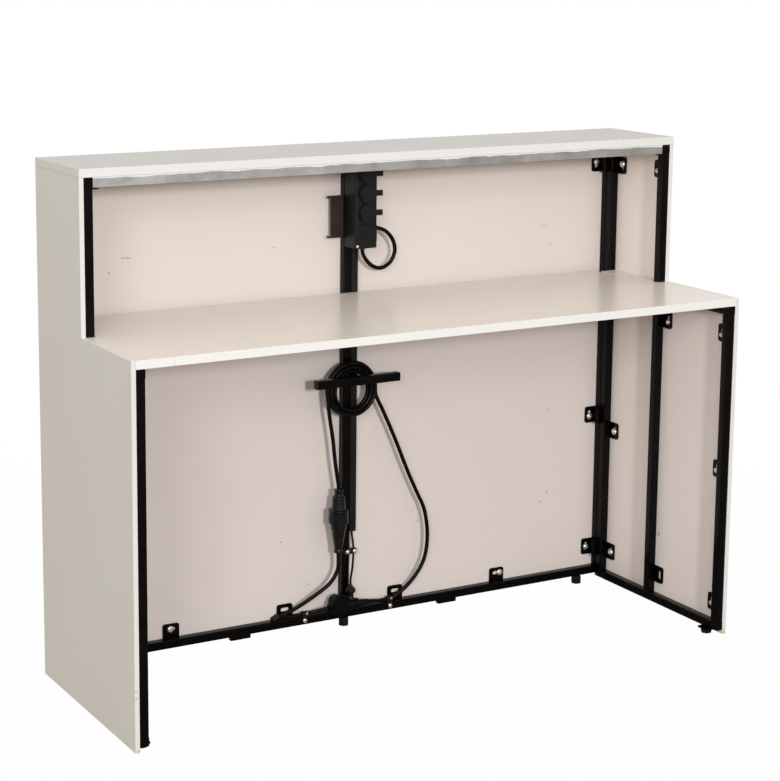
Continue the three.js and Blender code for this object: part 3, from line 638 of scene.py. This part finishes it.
cordRoutes = {
    "left": [pastCoil(0, 0.6), pastCoil(0, 10), (-69.5, 193.7, 540), (-64.5, 195.6, 511),
        (-57.2, 195.8, 468), (-50, 196, 410), (-43, 196, 366), (-40.2, 196, 350), (-40, 196, 343.6)],
    "right": [pastCoil(1, 0.6), pastCoil(1, 9), (63.5, 204.2, 551), (78, 204.4, 523), (111, 204.6, 454),
        (156, 205, 351), (181, 205.4, 300), (199, 205.8, 262), (210, 206.5, 196), (202, 208, 136),
        (175, 212, 91), (142, 219.5, 59), (117, 224, 46.3), (97, 222, 45.7), (76, 214, 49.3),
        (61, 208.1, 54), (53, 206.4, 55), (47.6, 206.4, 55)],
    "connector": [(-176, 230.5, 47.3), (-166, 230, 48.8), (-156, 226.7, 53.3), (-135, 217, 67),
        (-98, 204.5, 92), (-58, 197.5, 122), (-41.5, 196.2, 150), (-39.8, 196, 168), (-40, 196, 182),
        (-40, 196, 189.4)],
    "tail": [(38.6, 195, 951), (46, 195, 951), (58, 195.6, 949), (80, 198, 940), (102, 202, 917),
        (108.5, 204, 890), (97, 206, 865), (74, 206.7, 853.5), (49, 206.7, 861), (31, 206.3, 879),
        (23.6, 206, 894), (23, 206, 901.4)],
    "drop": [(12, 224.7, 228.4), (12, 224.7, 221), (11.8, 220, 206), (10.5, 214, 188), (9, 211.5, 172),
        (4, 207.5, 140), (-0.6, 206.5, 118), (-1, 206.4, 110), (-1, 206.4, 104.6)],
    "rail": [(-57.6, 206.4, 55), (-63, 206.4, 55), (-73, 208.5, 53), (-93, 217, 48), (-117, 220.1, 45.3),
        (-145, 220.3, 45.3), (-176, 220.3, 45.3)],
}
# radius of each kind of cord, then the fineness of its round and of each span
cordSizes = {"main": 0.0047, "thin": 0.0026, "roundSteps": 4, "spanSteps": 6}


def makeCord(name, points, radius):
    curve = bpy.data.curves.new(name, "CURVE")
    curve.dimensions = "3D"
    curve.bevel_depth = radius
    curve.bevel_resolution = cordSizes["roundSteps"]
    curve.resolution_u = cordSizes["spanSteps"]
    curve.use_fill_caps = True
    spline = curve.splines.new("BEZIER")
    spline.bezier_points.add(len(points) - 1)
    for knot, point in zip(spline.bezier_points, points):
        knot.co = point / 1000
        knot.handle_left_type = "AUTO"
        knot.handle_right_type = "AUTO"
    piece = bpy.data.objects.new(name, curve)
    scene.collection.objects.link(piece)
    piece.data.materials.append(coats["cordRubber"])
    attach(piece, "front_frame")
    return piece


def routeLength(points):
    return sum((b - a).length for a, b in zip(points, points[1:])) / 1000


coilRun = [coilPoint(1 - i / coilShape["knots"]) for i in range(coilShape["knots"] + 1)]
supplyKnots = {"left": 18, "right": 38}
leftRun = routePoints(cordRoutes["left"], supplyKnots["left"])
rightRun = routePoints(list(reversed(cordRoutes["right"])), supplyKnots["right"])
supplyRun = rightRun + coilRun[1:-1] + leftRun
supplyCord = makeCord("supply_cord", supplyRun, cordSizes["main"])
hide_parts("cord_right", "cord_coil", "cord_left")
leadRuns = {
    "connector_lead": ("connector", 24, cordSizes["main"]),
    "tail_cord": ("tail", 24, cordSizes["main"]),
    "drop_lead": ("drop", 18, cordSizes["thin"]),
    "rail_lead": ("rail", 16, cordSizes["main"]),
}
leads = {}
for node, (route, count, radius) in leadRuns.items():
    run = routePoints(cordRoutes[route], count)
    leads[node] = (makeCord(node + "_line", run, radius), run)
    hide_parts(node)
print("cords laid, supply cord", round(routeLength(supplyRun), 3), "m")

# boards and panels: materials of the face, the edge band and the back, and the way that the back looks
boardPlan = {
    "front_panel": (panelLaminate, paintedShadeEdgeBand, outerPaintedShadeLaminate, (0, 1, 0)),
    "left_panel": (sidePaintedLightLaminate, paintedShadeEdgeBand, outerPaintedShadeLaminate, (-1, 0, 0)),
    "right_panel": (sidePaintedLightLaminate, paintedShadeEdgeBand, outerPaintedShadeLaminate, (1, 0, 0)),
    "worktop": (worktopPaintedLightLaminate, worktopBandPaintedLight, outerPaintedShadeLaminate, (0, 0, -1)),
    "shelf": (shelfPaintedShadeLaminate, shelfBand, outerPaintedShadeLaminate, (0, 0, -1)),
    "left_fillet": (worktopPaintedLightLaminate, paintedShadeEdgeBand, outerPaintedShadeLaminate, (0, 0, -1)),
    "right_fillet": (worktopPaintedLightLaminate, paintedShadeEdgeBand, outerPaintedShadeLaminate, (0, 0, -1)),
}
# the side panels rise past the worktop's ends, flush with its top, and the angle reaches the uprights
fits = {"panelStep": (0.77, 0.79), "panelRise": 0.0183, "boardEnd": 0.745, "boardTrim": 0.0103,
    "angleEnd": 0.6, "angleGrow": 0.0073}
panelRise = (lambda co: fits["panelStep"][0] < co.z < fits["panelStep"][1], (0, 0, fits["panelRise"]))
boardMoves = {
    "left_panel": [panelRise],
    "right_panel": [panelRise],
    "worktop": [(lambda co: co.x > fits["boardEnd"], (-fits["boardTrim"], 0, 0)),
        (lambda co: co.x < -fits["boardEnd"], (fits["boardTrim"], 0, 0))],
}
angleMoves = [(lambda co: co.x > fits["angleEnd"], (fits["angleGrow"], 0, 0)),
    (lambda co: co.x < -fits["angleEnd"], (-fits["angleGrow"], 0, 0))]
# soft edge of each kind of piece
softEdges = {
    "board": {"width": 0.0005, "segments": 3},
    "sheet": {"width": 0.0004},
    "tube": {"width": 0.0003, "segments": 1, "angle": 50, "smoothAngle": 50},
    "mould": {"width": 0.0007},
    "rubber": {"width": 0.0008, "smoothAngle": 45},
}


# face 0, edge band 1, back 2; the shelf's ends and the side panels' steps take the back's tone, with its
# painted shade
def faceNumber(node, normal, outward):
    lean = normal.dot(Vector(outward))
    likeBack = node == "shelf" and abs(normal.x) > 0.7
    likeBack = likeBack or node in ("left_panel", "right_panel") and normal.z > 0.2
    if lean > 0.7 or likeBack:
        return 2
    return 0 if lean < -0.7 else 1


for node, (face, band, back, outward) in boardPlan.items():
    moves = boardMoves.get(node, ())
    piece = edgedCopy(node, "laminate", [face, band, back], moves=moves, **softEdges["board"])
    for polygon in piece.data.polygons:
        polygon.material_index = faceNumber(node, polygon.normal, outward)
edgedCopy("shelf_angle", "aluminium", [millAluminium], moves=angleMoves, **softEdges["sheet"])
print("boards dressed")

# frame, feet and wiring blocks
tubeNodes = ["front_bottom_rail", "front_top_rail", "front_post_left", "front_post_right", "centre_post",
    "cable_hook"]
for side in ("left", "right"):
    for part in ("post", "upright", "leg", "bottom_rail", "worktop_rail", "rear_rail", "top_rail"):
        tubeNodes.append(f"{side}_{part}")
for node in tubeNodes:
    edgedCopy(node, "frame_black", [coats["framePowder"]], **softEdges["tube"])
mouldNodes = ["foot_front_left", "foot_front_centre", "foot_front_right", "foot_near_left", "foot_near_right",
    "cable_trunking", "outlet_housing", "socket_cap_1", "socket_cap_2", "socket_cap_3", "rail_clip_right",
    "rail_clip_left", "post_clip"]
for node in mouldNodes:
    edgedCopy(node, "black_plastic", [coats["blackMould"]], **softEdges["mould"])
for node in ["splitter_block", "splitter_cap", "rail_boot"]:
    edgedCopy(node, "black_rubber", [coats["cordRubber"]], **softEdges["rubber"])
for node in ["small_plug", "supply_plug", "supply_connector"]:
    edgedCopy(node, "black_rubber", [coats["plugMould"]], **softEdges["rubber"])
edgedCopy("outlet_bracket", "bracket_brown", [coats["bracketBrown"]], **softEdges["sheet"])
print("frame and wiring dressed")

# pan-head screw with a round recess, its head's seat at the origin and its dome towards -Y
panScrew = {"sides": 24, "radius": 0.0062, "height": 0.0034, "dome": 0.7, "domeSteps": 4, "inset": 0.0021,
    "sink": 0.0013, "taper": 0.7}
turnedAngle = 35


def makeScrew(s, grow=1.0):
    high = s["height"] * grow
    bpy.ops.object.select_all(action="DESELECT")
    bpy.ops.mesh.primitive_cylinder_add(vertices=s["sides"], radius=s["radius"] * grow, depth=high,
        location=(0, -high / 2, 0), rotation=(math.pi / 2, 0, 0))
    head = bpy.context.active_object
    applyPlace(head)
    pickFaces(head, lambda face: face.normal.y < -0.9)
    bpy.ops.mesh.bevel(offset=high * s["dome"], segments=s["domeSteps"], affect="EDGES")
    leaveEdit()
    pickFaces(head, lambda face: face.normal.y < -0.98 and len(face.vertices) > 8)
    bpy.ops.mesh.inset(thickness=s["inset"] * grow)
    bpy.ops.mesh.extrude_region_move(TRANSFORM_OT_translate={"value": (0, s["sink"] * grow, 0)})
    bpy.ops.transform.resize(value=(s["taper"], 1, s["taper"]), center_override=(0, 0, 0))
    leaveEdit()
    smooth(head, turnedAngle)
    return head


# copies of a model, joined to one piece for a body; each place is x, y, z and the way it looks
def copySet(name, model, body, material, slot, places):
    made = []
    for x, y, z, way in places:
        selectOnly(model)
        bpy.ops.object.duplicate()
        copy = bpy.context.active_object
        copy.rotation_euler = (0, 0, {"near": 0, "left": -math.pi / 2, "right": math.pi / 2}[way])
        copy.location = (x / 1000, y / 1000, z / 1000)
        applyPlace(copy)
        made.append(copy)
    bpy.data.objects.remove(model, do_unlink=True)
    bpy.ops.object.select_all(action="DESELECT")
    for copy in made:
        copy.select_set(True)
    bpy.context.view_layer.objects.active = made[0]
    if len(made) > 1:
        bpy.ops.object.join()
    made[0].name = name
    dress(made[0], body, slot, material)


def screwSet(name, body, material, slot, places, grow=1.0):
    copySet(name, makeScrew(panScrew, grow), body, material, slot, places)


# screws on the tabs, in millimetres; those of the posts and the bottom rail have larger heads
tabScrews = {
    "panelFace": 235.7,
    "sideFace": 736.7,
    "frontX": 700.5,
    "frontHeights": (87.5, 426, 1065.5),
    "postY": 178.9,
    "postHeights": (83.5, 394.5, 1063.5),
    "postGrow": 1.4,
    "railX": (-453, 439),
    "railHeight": 59.2,
    "railGrow": 1.3,
    "plainPlaces": ((-209.5, 67.5), (-209.5, 388.5), (-209.5, 709.5), (43.5, 1061.5), (-14.9, 705.5)),
}
frontPlaces = [(side * tabScrews["frontX"], tabScrews["panelFace"], z, "near")
    for side in (-1, 1) for z in tabScrews["frontHeights"]]
screwSet("front_tab_screws", "front_frame", coats["zincScrew"], "aluminium", frontPlaces,
    tabScrews["postGrow"])
railPlaces = [(x, tabScrews["panelFace"], tabScrews["railHeight"], "near") for x in tabScrews["railX"]]
screwSet("rail_tab_screws", "front_frame", coats["zincScrew"], "aluminium", railPlaces, tabScrews["railGrow"])
for side, body, way in ((-1, "left_side", "right"), (1, "right_side", "left")):
    face = side * tabScrews["sideFace"]
    places = [(face, tabScrews["postY"], z, way) for z in tabScrews["postHeights"]]
    screwSet(body + "_post_screws", body, coats["zincScrew"], "aluminium", places, tabScrews["postGrow"])
    places = [(face, y, z, way) for y, z in tabScrews["plainPlaces"]]
    screwSet(body + "_tab_screws", body, coats["zincScrew"], "aluminium", places)
# smaller screws: material, slot, size and places, all on the front frame
smallScrews = {
    "rail_clip_screws": ("zincScrew", "aluminium", 0.9, [(-117, 215.7, 31), (114, 215.7, 31)]),
    "clip_loop_screws": ("brassScrew", "aluminium", 0.55, [(-113, 213.2, 48), (118, 217.1, 48)]),
    "post_clip_screws": ("zincScrew", "aluminium", 0.8, [(-8.2, 208, 184), (10.5, 208, 184)]),
    "outlet_screw_left": ("zincScrew", "aluminium", 0.55, [(-13, 165, 914.5)]),
    "outlet_screw_right": ("blackMould", "black_plastic", 0.55, [(33, 165, 914.5)]),
}
for name, (coat, slot, grow, spots) in smallScrews.items():
    screwSet(name, "front_frame", coats[coat], slot, [(x, y, z, "near") for x, y, z in spots], grow)
print("screws set")

# socket in each well of the outlet: a dished insert with two brass sleeves
socket = {
    "x": 11.5,
    "heights": (1079, 1034.5, 990),
    "floor": 180.8,
    "pitch": 9.5,
    "sides": 40,
    "radius": 0.0181,
    "deep": 0.009,
    "rim": 0.002,
    "dish": 0.0035,
    "taper": 0.94,
    "edge": 0.0004,
    "sleeveSides": 20,
    "sleeve": 0.0032,
    "sleeveHigh": 0.0016,
    "sleeveWall": 0.0008,
    "sleeveSink": 0.0014,
}


def makeSocket(s):
    bpy.ops.object.select_all(action="DESELECT")
    bpy.ops.mesh.primitive_cylinder_add(vertices=s["sides"], radius=s["radius"], depth=s["deep"],
        location=(0, -s["deep"] / 2, 0), rotation=(math.pi / 2, 0, 0))
    insert = bpy.context.active_object
    applyPlace(insert)
    pickFaces(insert, lambda face: face.normal.y < -0.9)
    bpy.ops.mesh.inset(thickness=s["rim"])
    bpy.ops.mesh.extrude_region_move(TRANSFORM_OT_translate={"value": (0, s["dish"], 0)})
    bpy.ops.transform.resize(value=(s["taper"], 1, s["taper"]), center_override=(0, 0, 0))
    leaveEdit()
    bevelEdges(insert, s["edge"])
    smooth(insert, turnedAngle)
    return insert


def makeSleeve(s):
    bpy.ops.object.select_all(action="DESELECT")
    bpy.ops.mesh.primitive_cylinder_add(vertices=s["sleeveSides"], radius=s["sleeve"], depth=s["sleeveHigh"],
        location=(0, -s["sleeveHigh"] / 2, 0), rotation=(math.pi / 2, 0, 0))
    sleeve = bpy.context.active_object
    applyPlace(sleeve)
    pickFaces(sleeve, lambda face: face.normal.y < -0.9)
    bpy.ops.mesh.inset(thickness=s["sleeveWall"])
    bpy.ops.mesh.extrude_region_move(TRANSFORM_OT_translate={"value": (0, s["sleeveSink"], 0)})
    leaveEdit()
    smooth(sleeve, turnedAngle)
    return sleeve


insertPlaces = [(socket["x"], socket["floor"], z, "near") for z in socket["heights"]]
sleeveY = socket["floor"] - (socket["deep"] - socket["dish"]) * 1000
sleevePlaces = [(socket["x"] + side * socket["pitch"], sleeveY, z, "near")
    for z in socket["heights"] for side in (-1, 1)]
copySet("socket_inserts", makeSocket(socket), "front_frame", coats["blackMould"], "black_plastic",
    insertPlaces)
copySet("socket_sleeves", makeSleeve(socket), "front_frame", coats["brassScrew"], "aluminium", sleevePlaces)
print("sockets set")

# floor and light; the camera sees the floor almost white near the object and all white further out
studio = {
    "floorSize": 40,
    "floorTone": (0.265, 0.243, 0.222, 1),
    "floorWhite": 0.985,
    "whiteFrom": 0.9,
    "whiteTo": 2.2,
    "ambient": 0.91,
}
lamps = {
    "keyLamp": {"place": (-1.5, -8.95, 2.8), "target": (0.1, 0.1, 0.6), "size": (0.6, 1.05), "power": 500},
    "leftLamp": {"place": (-8.1, -10.2, 4.9), "target": (0, 0, 0.7), "size": (3.2, 3.2), "power": 505},
}


def makeFloor():
    bpy.ops.object.select_all(action="DESELECT")
    bpy.ops.mesh.primitive_plane_add(size=studio["floorSize"], location=(0, 0, 0))
    floor = bpy.context.active_object
    floor.name = "studioFloor"
    material = bpy.data.materials.new("studioFloor")
    material.use_nodes = True
    tree = material.node_tree
    tree.nodes.clear()
    out = addNode(tree, "ShaderNodeOutputMaterial", 500)
    matt = addNode(tree, "ShaderNodeBsdfDiffuse", -200, 100)
    matt.inputs["Color"].default_value = studio["floorTone"]
    glow = addNode(tree, "ShaderNodeEmission", -200, -100)
    glow.inputs["Color"].default_value = (1, 1, 1, 1)
    path = addNode(tree, "ShaderNodeLightPath", -700)
    share = addNode(tree, "ShaderNodeMath", -200, 250, operation="MULTIPLY")
    coords = addNode(tree, "ShaderNodeTexCoord", -900, 400)
    away = addNode(tree, "ShaderNodeVectorMath", -700, 400, operation="LENGTH")
    fade = addNode(tree, "ShaderNodeMapRange", -450, 400)
    fade.inputs["From Min"].default_value = studio["whiteFrom"]
    fade.inputs["From Max"].default_value = studio["whiteTo"]
    fade.inputs["To Min"].default_value = studio["floorWhite"]
    fade.inputs["To Max"].default_value = 1.0
    tree.links.new(coords.outputs["Object"], away.inputs[0])
    tree.links.new(away.outputs["Value"], fade.inputs["Value"])
    tree.links.new(fade.outputs["Result"], share.inputs[1])
    mix = addNode(tree, "ShaderNodeMixShader", 200)
    tree.links.new(path.outputs["Is Camera Ray"], share.inputs[0])
    tree.links.new(share.outputs[0], mix.inputs[0])
    tree.links.new(matt.outputs[0], mix.inputs[1])
    tree.links.new(glow.outputs[0], mix.inputs[2])
    tree.links.new(mix.outputs[0], out.inputs["Surface"])
    floor.data.materials.append(material)


def makeWorld():
    world = bpy.data.worlds.new("studioWorld")
    scene.world = world
    world.use_nodes = True
    tree = world.node_tree
    back = tree.nodes["Background"]
    path = addNode(tree, "ShaderNodeLightPath", -700)
    level = addNode(tree, "ShaderNodeMix", -200)
    level.inputs["A"].default_value = studio["ambient"]
    level.inputs["B"].default_value = 1.0
    tree.links.new(path.outputs["Is Camera Ray"], level.inputs["Factor"])
    tree.links.new(level.outputs["Result"], back.inputs["Strength"])
    back.inputs["Color"].default_value = (1, 1, 1, 1)


def makeLamp(name, place, target, size, power):
    bpy.ops.object.light_add(type="AREA", location=place)
    lamp = bpy.context.active_object
    lamp.name = name
    lamp.data.shape = "RECTANGLE"
    lamp.data.size, lamp.data.size_y = size
    lamp.data.energy = power
    lamp.rotation_euler = (Vector(target) - Vector(place)).to_track_quat("-Z", "Y").to_euler()


makeFloor()
makeWorld()
for name, lamp in lamps.items():
    makeLamp(name, **lamp)
scene.view_settings.view_transform = "Standard"
print("studio lit")

# what each cord is
leadFacts = {
    "connector_lead": ("connector", "hanging", ["supply_connector_finish"]),
    "tail_cord": ("object", "hanging", []),
    "drop_lead": ("plug", "hanging", ["small_plug_finish"]),
    "rail_lead": ("object", "loose", []),
}
for node, (farEnd, lay, ends) in leadFacts.items():
    piece, run = leads[node]

print("pieces done")
